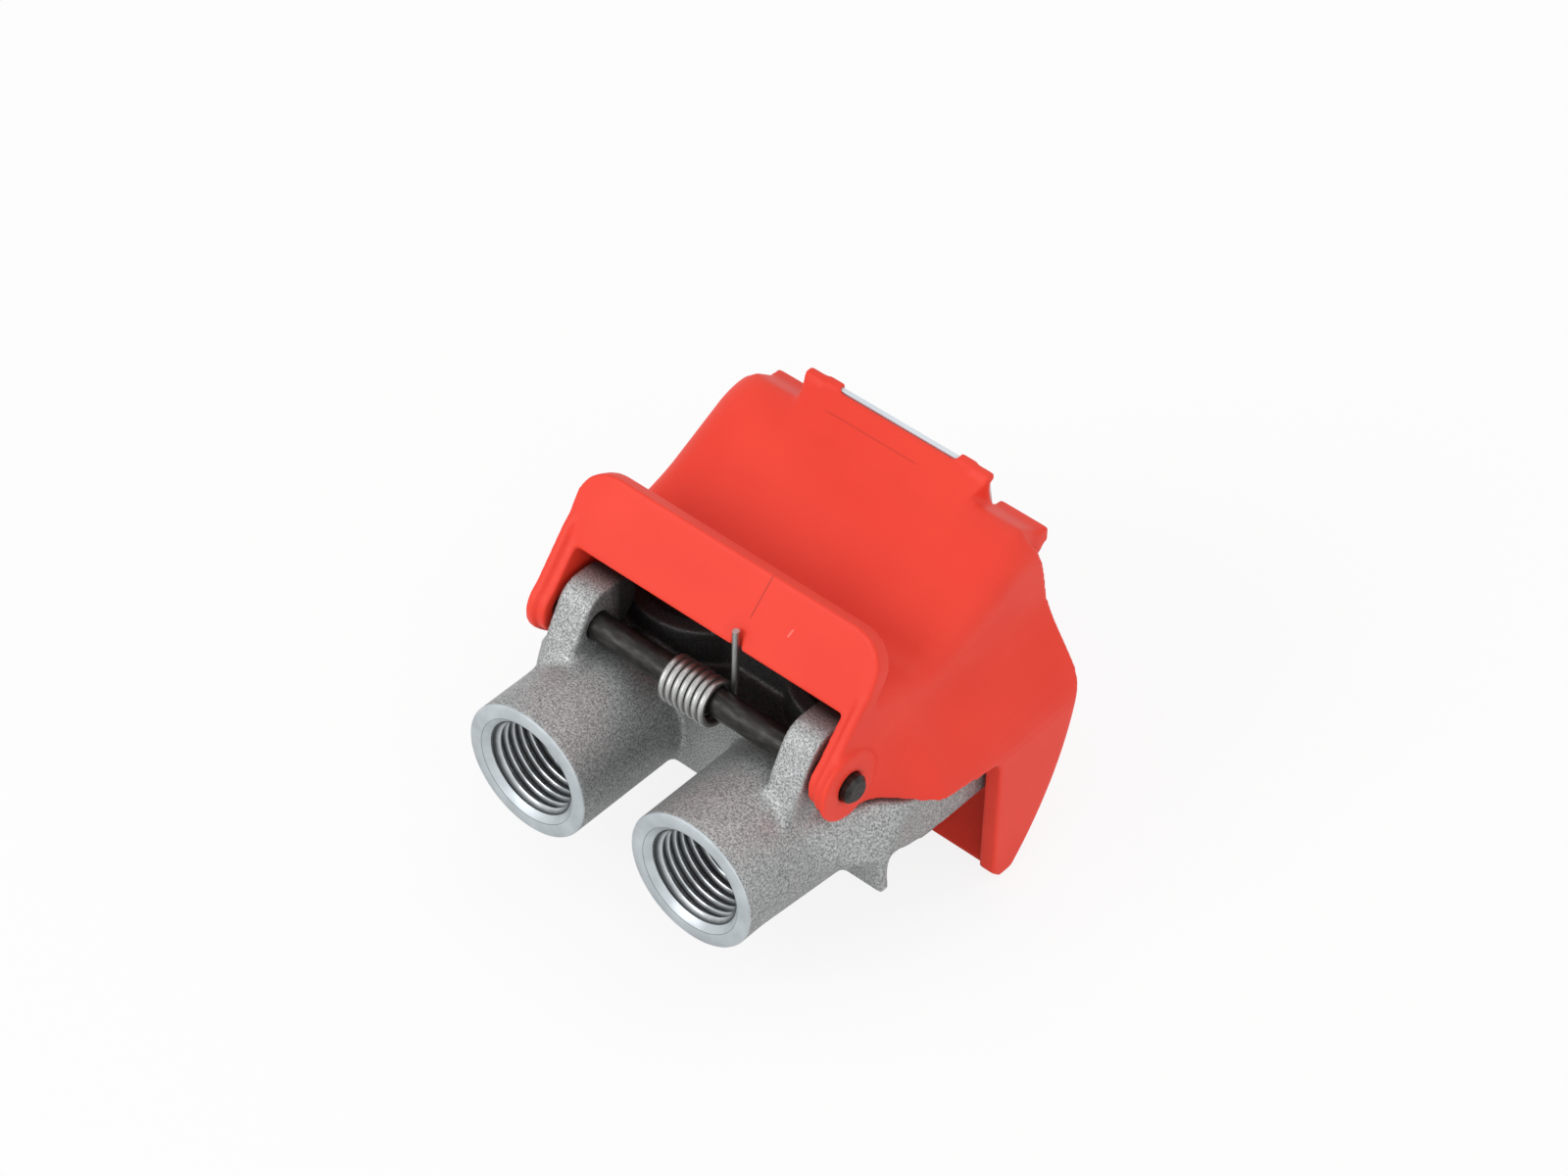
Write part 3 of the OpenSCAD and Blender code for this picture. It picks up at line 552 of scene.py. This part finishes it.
# %% Corners of the casting
CORNER_R = 9
CORNER_AT = (23.5, 31)
FLANGE_CORNER = [(29, 21.02), (33.48, 21.02), (33.48, 22.98), (29, 22.98)]
head_corner = [(CORNER_AT[0] + CORNER_R * math.cos(a), CORNER_AT[1] + CORNER_R * math.sin(a))
               for a in np.linspace(-1.23, 0, 9)]
worked(casting, "DIFFERENCE", prism([(26.5, 20)] + head_corner + [(36, 31), (36, 20)], "Z", -0.3, 9))
worked(casting, "UNION", prism(FLANGE_CORNER, "Z", -6.78, -3))

# %% Swell and flare of the tubes
INSIDE_SKIN = 11.2
EAR_FOOT = [(24.3, 15, 7.6), (24.3, 18, 7.8), (24.3, 20, 7.5), (24.3, 22, 6.9)]
FLANGE_END = [(33.3, 21.2, -0.6), (33.3, 23.2, -0.4), (32.4, 26, 1.8), (29.8, 24, 5), (32.3, 28, 4.8),
              (32.3, 30, -3), (25.6, 21.2, -5.4), (20, 22.8, -5.4), (20, 28, 4)]


def tube_side(back, swell, low, high, steps=13):
    arc = []
    for share, a in zip(np.linspace(0, 1, steps), np.linspace(low, high, steps)):
        r = INSIDE_SKIN + swell * math.sin(math.pi * share)
        arc.append((PORT_X / MM + r * math.cos(a), back, r * math.sin(a)))
    return arc


swell_front = tube_side(back=4, swell=0, low=-1.1, high=0.35)
swell_back = tube_side(back=21.1, swell=1.1, low=-1.1, high=0.35)
worked(casting, "UNION", hull(swell_front + swell_back))
flare_front = tube_side(back=13.5, swell=0.3, low=-0.1, high=0.6)
flare_back = tube_side(back=18.5, swell=0.7, low=-0.3, high=0.2)
worked(casting, "UNION", hull(flare_front + flare_back + EAR_FOOT + FLANGE_END))

# %% [markdown]
# The ears that hold the pin are thicker inwards than the solid's. A new block would have to repeat their
# round outline, so the right ear is cut out of a copy of the body, moved inwards and joined on. Then the
# whole casting is rounded, and eased where the flare and the ears' feet run into the tubes.

# %% Thicker ears and the rounded casting
EAR_WINDOW = [(10.5, 9.5), (27.4, 9.5), (27.4, 21), (10.5, 21)]
EAR_SHIFT = -1.8
FLARE_BOX = ((24.5, 13, -4), (34, 33, 8))
EAR_FRONT = ((16.5, 7, 4), (26, 13, 11))
ear = merged_copy("ear", "body")
worked(ear, "INTERSECT", prism(EAR_WINDOW, "X", 20.3, 24), ["right"])
ear.data.transform(Matrix.Translation((EAR_SHIFT * MM, 0, 0)))
worked(casting, "UNION", ear.data)
bpy.data.objects.remove(ear)
softened(casting, voxel=0.36, rounds=8)
eased(casting, (FLARE_BOX, EAR_FRONT), rounds=40, margin=2.5)

# %% [markdown]
# The next step gives each tube a crisp turned ring. The rounded end of the casting would show through it, so
# every point near an end is drawn back a little, less and less with its depth. Both pieces then get their
# finish, the body that they ride on and the solid that they stand for.

# %% Port ends pulled back
TUBE_R = 11.25 * MM
PULL = 0.3 * MM
PULL_DEPTH = 1.5 * MM


def dressed(piece, body, slot, material, *nodes):
    piece.data.materials.clear()
    piece.data.materials.append(material)
    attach(piece, body)
    if nodes:
        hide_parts(*nodes)
    return piece


place = points_of(casting)
near = np.hypot(np.abs(place[:, 0]) - PORT_X, place[:, 2]) < TUBE_R + 0.5 * MM
place[:, 1] += PULL * np.clip(1 - place[:, 1] / PULL_DEPTH, 0, 1) * near
casting.data.vertices.foreach_set("co", place.ravel())
casting.data.update()
dressed(hood_shell, "hood", "cover_plastic", red_nylon, "cover")
dressed(casting, "base", "cast_aluminium", cast, "body")
print("port ends stand", round(float(place[:, 1].min() / MM), 2), "mm behind the port plane")

# %% [markdown]
# ## Turned ends and threads of the ports
# On the real body the ends of the tubes are faced on a lathe, chamfered and tapped. The faced ring is a
# profile of radius and depth, spun round the port's axis, which gives the crisp edges that a casting can't
# have. Behind its edge the ring's outer side keeps the finish of the casting.

# %% Faced rings
PORT_END = [(11.19, 2.4), (11.25, 1.2), (11.25, 0.32), (11.16, 0.12),
            (10.95, 0.0), (9.05, 0.0), (8.9, 0.06), (7.98, 1.0)]
CAST_FROM = 0.35 * MM


def spun(name, profile, centre_x, steps=128):
    angle = np.linspace(0, 2 * np.pi, steps, endpoint=False)
    points = [(centre_x + r * math.cos(a), y, r * math.sin(a)) for r, y in profile for a in angle]
    faces = []
    for row in range(0, (len(profile) - 1) * steps, steps):
        for i in range(steps):
            after = (i + 1) % steps
            faces.append((row + i, row + after, row + steps + after, row + steps + i))
    mesh = bpy.data.meshes.new(name)
    mesh.from_pydata(points, [], faces)
    piece = bpy.data.objects.new(name, mesh)
    scene.collection.objects.link(piece)
    return piece


def crisp(piece, degrees=30):
    work = bmesh.new()
    work.from_mesh(piece.data)
    for edge in work.edges:
        edge.smooth = len(edge.link_faces) == 2 and edge.calc_face_angle(0) < math.radians(degrees)
    for face in work.faces:
        face.smooth = True
    work.to_mesh(piece.data)
    work.free()
    return piece


for side, sign in (("left", -1), ("right", 1)):
    ring = crisp(spun(side + "_port_face", [(r * MM, y * MM) for r, y in PORT_END], sign * PORT_X))
    dressed(ring, "base", "cast_aluminium", turned_metal)
    ring.data.materials.append(cast)
    for face in ring.data.polygons:
        face.material_index = 1 if face.center.y > CAST_FROM and abs(face.normal.y) < 0.5 else 0
    print(ring.name, "has", len(ring.data.polygons), "faces")

# %% [markdown]
# The thread and the wires follow rules, so Geometry Nodes make them. Three helpers serve every such tree:
# one starts it with named inputs, one ends it with real faces and a finish, and one runs it on an object
# and keeps the plain mesh.

# %% Helpers for the trees
def tree_with(name, inputs):
    tree = bpy.data.node_groups.new(name, "GeometryNodeTree")
    sockets = {}
    for label, kind in inputs:
        made = tree.interface.new_socket(label, in_out="INPUT", socket_type="NodeSocket" + kind)
        sockets[label] = made.identifier
    tree.interface.new_socket("Geometry", in_out="OUTPUT", socket_type="NodeSocketGeometry")
    start = add(tree, "NodeGroupInput").outputs
    return tree, start, sockets


def ended(tree, shape, finish):
    smooth = add(tree, "GeometryNodeSetShadeSmooth", {"Geometry": shape})
    real = add(tree, "GeometryNodeRealizeInstances", {"Geometry": smooth.outputs[0]})
    painted = add(tree, "GeometryNodeSetMaterial", {"Geometry": real.outputs[0], "Material": finish})
    add(tree, "NodeGroupOutput", {"Geometry": painted.outputs[0]})
    print("nodes in the tree", tree.name + ":", len(tree.nodes))


def grown(name, tree, sockets, values, mesh=None):
    piece = bpy.data.objects.new(name, mesh or bpy.data.meshes.new(name))
    scene.collection.objects.link(piece)
    modifier = piece.modifiers.new("shape", "NODES")
    modifier.node_group = tree
    for label, value in values.items():
        modifier[sockets[label]] = value
    print(name, "has", settled(piece), "faces")
    return piece


# %% [markdown]
# A tap cuts the thread as a spiral groove. A screw modifier could sweep a tooth along it, but would leave
# its start open. Here a flat grid is rolled into the bore, and each point's distance from the axis swings
# in and out once for each pitch, with a narrow flat at each crest and root. Where the chamfer is wider than
# the thread, the chamfer wins, so the first turn runs out as a real tap leaves it.

# %% The thread's tree
POINTS_ROUND = 145
POINTS_DEEP = 170
CREST_FLAT = 0.08
ROOT_FLAT = 0.44
thread_tree, start, thread_sockets = tree_with("Tapped bore", [
    ("Axis X", "Float"), ("Major radius", "Float"), ("Minor radius", "Float"), ("Pitch", "Float"),
    ("Depth", "Float"), ("Mouth radius", "Float"), ("Finish", "Material")])
tree = thread_tree
grid = add(tree, "GeometryNodeMeshGrid",
           {"Size X": 1.0, "Size Y": 1.0, "Vertices X": POINTS_ROUND, "Vertices Y": POINTS_DEEP})
spot = add(tree, "ShaderNodeSeparateXYZ", {"Vector": add(tree, "GeometryNodeInputPosition").outputs[0]})
share = add(tree, "ShaderNodeMath", {0: spot.outputs["X"], 1: 0.5}, operation="ADD").outputs[0]
along = add(tree, "ShaderNodeMath", {0: spot.outputs["Y"], 1: 0.5}, operation="ADD").outputs[0]
deep = add(tree, "ShaderNodeMath", {0: along, 1: start["Depth"]}, operation="MULTIPLY").outputs[0]
angle = add(tree, "ShaderNodeMath", {0: share, 1: 2 * math.pi}, operation="MULTIPLY").outputs[0]
pitches = add(tree, "ShaderNodeMath", {0: deep, 1: start["Pitch"]}, operation="DIVIDE").outputs[0]
phase = add(tree, "ShaderNodeMath", {0: pitches, 1: share}, operation="ADD").outputs[0]
swing = add(tree, "ShaderNodeMath", {0: phase, 1: 0.5}, operation="PINGPONG").outputs[0]
flank = add(tree, "ShaderNodeMapRange", {"Value": swing, "From Min": CREST_FLAT, "From Max": ROOT_FLAT,
                                         "To Min": start["Minor radius"], "To Max": start["Major radius"]})
cone = add(tree, "ShaderNodeMath", {0: start["Mouth radius"], 1: deep}, operation="SUBTRACT").outputs[0]
reach = add(tree, "ShaderNodeMath", {0: flank.outputs["Result"], 1: cone}, operation="MAXIMUM").outputs[0]
cosine = add(tree, "ShaderNodeMath", {0: angle}, operation="COSINE").outputs[0]
sine = add(tree, "ShaderNodeMath", {0: angle}, operation="SINE").outputs[0]
wide = add(tree, "ShaderNodeMath", {0: reach, 1: cosine, 2: start["Axis X"]}, operation="MULTIPLY_ADD")
high = add(tree, "ShaderNodeMath", {0: reach, 1: sine}, operation="MULTIPLY")
rolled = add(tree, "ShaderNodeCombineXYZ", {"X": wide.outputs[0], "Y": deep, "Z": high.outputs[0]})
bore = add(tree, "GeometryNodeSetPosition", {"Geometry": grid.outputs["Mesh"], "Position": rolled.outputs[0]})
joined = add(tree, "GeometryNodeMergeByDistance", {"Geometry": bore.outputs[0], "Distance": 0.002 * MM})
ended(tree, joined.outputs[0], start["Finish"])

# %% Two threads
for side, sign in (("left", -1), ("right", 1)):
    thread = grown(side + "_port_thread", thread_tree, thread_sockets, {
        "Axis X": sign * PORT_X, "Major radius": 7.99 * MM, "Minor radius": 7.15 * MM, "Pitch": 1.5 * MM,
        "Depth": 14 * MM, "Mouth radius": 8.98 * MM, "Finish": tapped_metal})
    dressed(thread, "base", "cast_aluminium", tapped_metal)

# %% [markdown]
# ## Springs
# Each spring is a round wire on a path. The path is a list of points, as the spring maker winds it: leg,
# coil, leg. One small tree turns any such path into a wire of a given radius. A curve object with a bevel
# would look the same, but the tree hands back a plain mesh with closed ends.

# %% The wire's tree
wire_tree, start, wire_sockets = tree_with("Wire on a path", [
    ("Geometry", "Geometry"), ("Wire radius", "Float"), ("Finish", "Material")])
tree = wire_tree
path = add(tree, "GeometryNodeMeshToCurve", {"Mesh": start["Geometry"]})
section = add(tree, "GeometryNodeCurvePrimitiveCircle", {"Radius": start["Wire radius"], "Resolution": 14})
wire = add(tree, "GeometryNodeCurveToMesh",
           {"Curve": path.outputs[0], "Profile Curve": section.outputs[0], "Fill Caps": True})
ended(tree, wire.outputs[0], start["Finish"])


def wire_along(name, points, radius, material):
    mesh = bpy.data.meshes.new(name)
    mesh.from_pydata(points, [(i, i + 1) for i in range(len(points) - 1)], [])
    return grown(name, wire_tree, wire_sockets, {"Wire radius": radius * MM, "Finish": material}, mesh)


# %% [markdown]
# The torsion spring sits on the pin and presses the cover shut. It hangs a little off the pin's axis, as a
# loose coil does. One leg rests on the body, the other stands in the notch of the lip.

# %% Bends in a wire
def bent(corners, bend=0.9, steps=6):
    out = [corners[0]]
    for before, at, after in zip(corners, corners[1:], corners[2:]):
        before, at, after = (np.array(p, float) for p in (before, at, after))
        a = at + (before - at) * min(0.45, bend / np.linalg.norm(before - at))
        b = at + (after - at) * min(0.45, bend / np.linalg.norm(after - at))
        out += [tuple((1 - t) ** 2 * a + 2 * t * (1 - t) * at + t * t * b) for t in np.linspace(0, 1, steps)]
    return out + [corners[-1]]


# %% Torsion spring
PIN = np.array([0, 18.4, 14.4]) * MM
WIRE_R = 0.55
COIL_FROM = -3.8
COIL_TO = 4.9
COIL_R = 3.2
TURNS = 7
STEPS_A_TURN = 48
SAG_BACK = -0.25
SAG_UP = -0.29
LEG_X = 5.4
LEG_BACK = 2.6
LEG_TOP = 12.7
turn = np.linspace(0, 2 * np.pi * TURNS, TURNS * STEPS_A_TURN + 1)
coil = [(COIL_FROM + (COIL_TO - COIL_FROM) * t / turn[-1], SAG_BACK + COIL_R * math.cos(t),
         SAG_UP + COIL_R * math.sin(t)) for t in turn]
low_leg = bent([(COIL_FROM, 1.78, -7.4), (COIL_FROM, 1.78, -3.6), (COIL_FROM, 2.9, -1.8), coil[0]])
high_leg = bent([coil[-1], (COIL_TO + 0.1, 2.92, 0.6), (LEG_X, LEG_BACK, 2.6), (LEG_X, LEG_BACK, LEG_TOP)])
winding = [tuple(PIN + np.array(p) * MM) for p in low_leg[:-1] + coil + high_leg[1:]]
spring = wire_along("closing_spring", winding, WIRE_R, spring_steel)
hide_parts("torsion_spring")
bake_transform(spring)

# %% [markdown]
# A valve spring is a plain coil whose first and last turns lie close, so that it stands flat. The height of
# each point is read from a short table of turns.

# %% Valve springs
VALVE_Y = 39.0
VALVE_FLOOR = -7.5
VALVE_TOP = 0.4
VALVE_R = 5.95
VALVE_WIRE = 0.45
VALVE_TURNS = 6
turn = np.linspace(0, VALVE_TURNS, VALVE_TURNS * 40 + 1)
rise = np.interp(turn, (0, 1, VALVE_TURNS - 1, VALVE_TURNS), (0, 0.2, 0.8, 1))
height = VALVE_FLOOR + (VALVE_TOP - VALVE_FLOOR) * rise
for side, sign in (("left", -1), ("right", 1)):
    points = [(sign * PORT_X + VALVE_R * MM * math.cos(2 * math.pi * t),
               (VALVE_Y + VALVE_R * math.sin(2 * math.pi * t)) * MM, z * MM) for t, z in zip(turn, height)]
    piece = wire_along(side + "_return_spring", points, VALVE_WIRE, spring_steel)
    dressed(piece, "base", "spring_steel", spring_steel, side + "_valve_spring")
    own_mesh(piece)

# %% [markdown]
# ## Turned and moulded pieces
# The pin, the bushes, seals and plungers already have their true round forms in the CAD model, which stores
# them as loose triangles. Making them again would add nothing, so a merged copy of each gets smooth shading
# between its sharp edges, its finish and its body.

# %% Merged copies
plan = {"hinge_pin": ("base", "black_steel", black_steel),
        "label_plate": ("hood", "label_plastic", label_sheet)}
for side in ("left", "right"):
    plan.update({side + "_seat_bush": ("base", "brass", brass),
                 side + "_bush_seal": ("base", "rubber", rubber),
                 side + "_retaining_ring": ("base", "ring_steel", ring_steel),
                 side + "_face_seal": ("base", "rubber", rubber),
                 side + "_valve_plunger": (side + "_valve", "plunger_plastic", acetal),
                 side + "_valve_washer": (side + "_valve", "rubber", rubber)})
for node, (body, slot, material) in plan.items():
    dressed(crisp(merged_copy(node + "_finished", node)), body, slot, material, node)
print("merged copies:", len(plan))

# %% [markdown]
# ## Floor, light and camera
# The photograph shows the part on plain white. A large sheet of white paper lies under the lowest point. To
# the camera, and through glass, it mostly glows white, and the rest still takes the part's shadow. In the
# metal it glows less, so that the shade under the part darkens the tubes from below.

# %% Floor
FLOOR_GAP = 0.2 * MM
FLOOR_HALF = 3
SEEN_GLOW = 0.85
GLOSSY_GLOW = 0.3
low = cad_box[0][2] - FLOOR_GAP
floor_mesh = bpy.data.meshes.new("studio_floor")
corners = [(x * FLOOR_HALF, y * FLOOR_HALF, low) for x, y in ((-1, -1), (1, -1), (1, 1), (-1, 1))]
floor_mesh.from_pydata(corners, [], [(0, 1, 2, 3)])
floor = bpy.data.objects.new("studio_floor", floor_mesh)
scene.collection.objects.link(floor)
paper, tree, shader = finish_named("studio_paper", Roughness=0.9, Specular_IOR_Level=0.1,
                                   Base_Color=linear("#FAFAFA"))
rays = add(tree, "ShaderNodeLightPath").outputs
glow = add(tree, "ShaderNodeEmission", {"Color": linear("#FFFFFF"), "Strength": 1.0})
seen = add(tree, "ShaderNodeMath", {0: rays["Is Camera Ray"], 1: rays["Is Transmission Ray"]},
           operation="MAXIMUM")
direct = add(tree, "ShaderNodeMath", {0: seen.outputs[0], 1: SEEN_GLOW}, operation="MULTIPLY")
part = add(tree, "ShaderNodeMath", {0: rays["Is Glossy Ray"], 1: GLOSSY_GLOW, 2: direct.outputs[0]},
           operation="MULTIPLY_ADD")
blend = add(tree, "ShaderNodeMixShader", {0: part.outputs[0], 1: shader.outputs[0], 2: glow.outputs[0]})
tree.links.new(blend.outputs[0], tree.nodes["Material Output"].inputs["Surface"])
floor_mesh.materials.append(paper)
print("floor at", round(low / MM, 1), "mm")

# %% [markdown]
# The world is the white room round the part. It is fully white where the camera, a glossy surface or glass
# looks at it, and dimmer as a light, so that the part isn't washed out.

# %% World
ROOM_LIGHT = 0.66
world = bpy.data.worlds.new("studio")
scene.world = world
world.use_nodes = True
tree = world.node_tree
rays = add(tree, "ShaderNodeLightPath").outputs
seen = add(tree, "ShaderNodeMath", {0: rays["Is Camera Ray"], 1: rays["Is Glossy Ray"]}, operation="MAXIMUM")
seen = add(tree, "ShaderNodeMath", {0: seen.outputs[0], 1: rays["Is Transmission Ray"]}, operation="MAXIMUM")
strength = add(tree, "ShaderNodeMapRange", {"Value": seen.outputs[0], "To Min": ROOM_LIGHT, "To Max": 1.0})
room = tree.nodes["Background"]
room.inputs["Color"].default_value = linear("#FFFFFF")
tree.links.new(strength.outputs["Result"], room.inputs["Strength"])
print("the world as a light:", ROOM_LIGHT)

# %% [markdown]
# Three broad lamps give the soft light: a key from the front and the left, a weaker fill from the right and
# a weak one from above and behind. Small lamps would draw hard shadows, which the photograph doesn't have.

# %% Lamps
def lamp(name, place, size, power, target=(0, 0.03, 0.005)):
    light = bpy.data.lights.new(name, "AREA")
    light.size = size
    light.energy = power
    made = bpy.data.objects.new(name, light)
    scene.collection.objects.link(made)
    back = np.array(place, float) - np.array(target)
    back /= np.linalg.norm(back)
    right = np.cross((0, 0, 1), back)
    right /= np.linalg.norm(right)
    up = np.cross(back, right)
    made.matrix_world = Matrix([[right[i], up[i], back[i], place[i]] for i in range(3)] + [[0, 0, 0, 1]])


lamp("key", (-0.35, -0.95, 0.62), size=0.7, power=5.0)
lamp("fill", (0.9, -0.5, 0.5), size=0.9, power=2.0)
lamp("top", (0.1, 0.6, 1.1), size=0.9, power=1.3)

# %% [markdown]
# The camera stands where the photograph's stood. Its place and lens were found by fitting the two port
# rings, which are circles of known size and spacing, to their ellipses in the photograph. Turning it by eye
# would come close, but the fit also gives the distance, which sets how strongly the lines converge.

# %% Camera
lens = bpy.data.cameras.new("photo_camera")
lens.sensor_fit = "HORIZONTAL"
lens.sensor_width = 36
lens.lens = 107.7
lens.clip_start = 0.01
camera = bpy.data.objects.new("photo_camera", lens)
scene.collection.objects.link(camera)
RIGHT = (0.749873, 0.661324, 0.018445)
UP = (-0.465052, 0.507082, 0.725668)
BACK = (0.470549, -0.552737, 0.687797)
EYE = (316.624 * MM, -334.457 * MM, 483.224 * MM)
camera.matrix_world = Matrix([[RIGHT[i], UP[i], BACK[i], EYE[i]] for i in range(3)] + [[0, 0, 0, 1]])
scene.camera = camera
scene.view_settings.view_transform = "Standard"
print("camera", round(math.dist(EYE, (0, 0, 0)), 2), "m from the port plane's middle")

# %% [markdown]
# Last, the view layer is brought up to date.

# %% Finish
bpy.context.view_layer.update()
